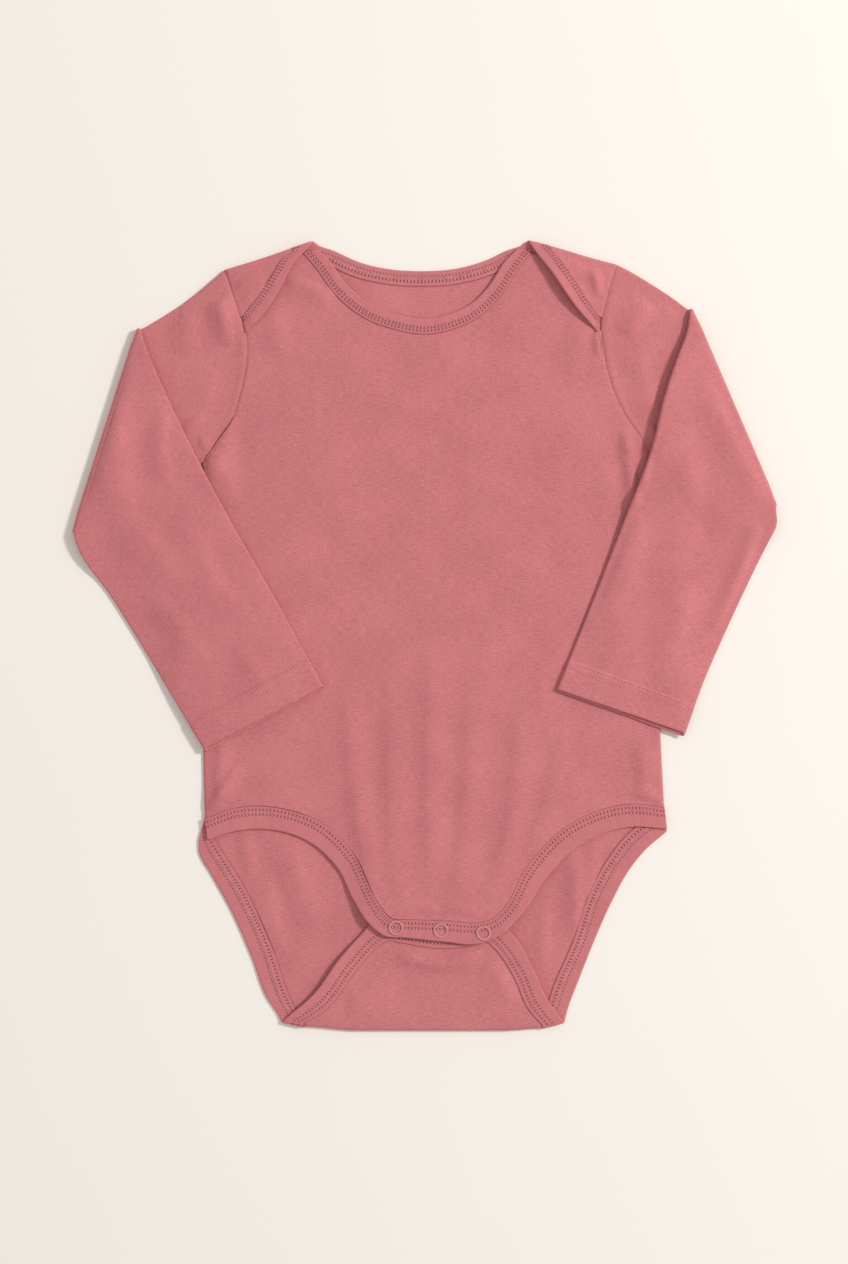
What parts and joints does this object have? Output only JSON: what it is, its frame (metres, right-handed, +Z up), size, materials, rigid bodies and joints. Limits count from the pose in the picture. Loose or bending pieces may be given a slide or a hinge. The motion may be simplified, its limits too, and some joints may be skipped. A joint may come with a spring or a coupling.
{
  "type": "baby onesie laid flat",
  "caption": "Long-sleeved baby bodysuit laid flat, sleeves folded in, with an envelope neck and a snapped crotch flap folded up.",
  "frame": {"origin": "centre of the bounding box on the surface that the garment lies on", "axes": "+Y towards the neck, +Z up from the surface, +X towards the garment's own left sleeve"},
  "size_m": [0.4017, 0.4503, 0.0085],
  "materials": {
    "jersey": "dusty rose cotton jersey with fine slub along the knit courses",
    "rib": "dusty rose jersey binding, doubled over the edge",
    "snap_metal": "rose enamelled ring snap"
  },
  "bodies": {
    "root": {"back": "jersey", "front": "jersey", "sleeve_left": "jersey", "sleeve_right": "jersey", "neck_binding_back": "rib", "neck_binding_front": "rib", "leg_binding_back": "rib", "leg_binding_front": "rib", "snap_cap_1": "snap_metal", "snap_cap_2": "snap_metal", "snap_cap_3": "snap_metal", "snap_socket_1": "snap_metal", "snap_socket_2": "snap_metal", "snap_socket_3": "snap_metal", "snap_stud_1": "snap_metal", "snap_stud_2": "snap_metal", "snap_stud_3": "snap_metal", "snap_ring_1": "snap_metal", "snap_ring_2": "snap_metal", "snap_ring_3": "snap_metal"}
  },
  "joints": []
}
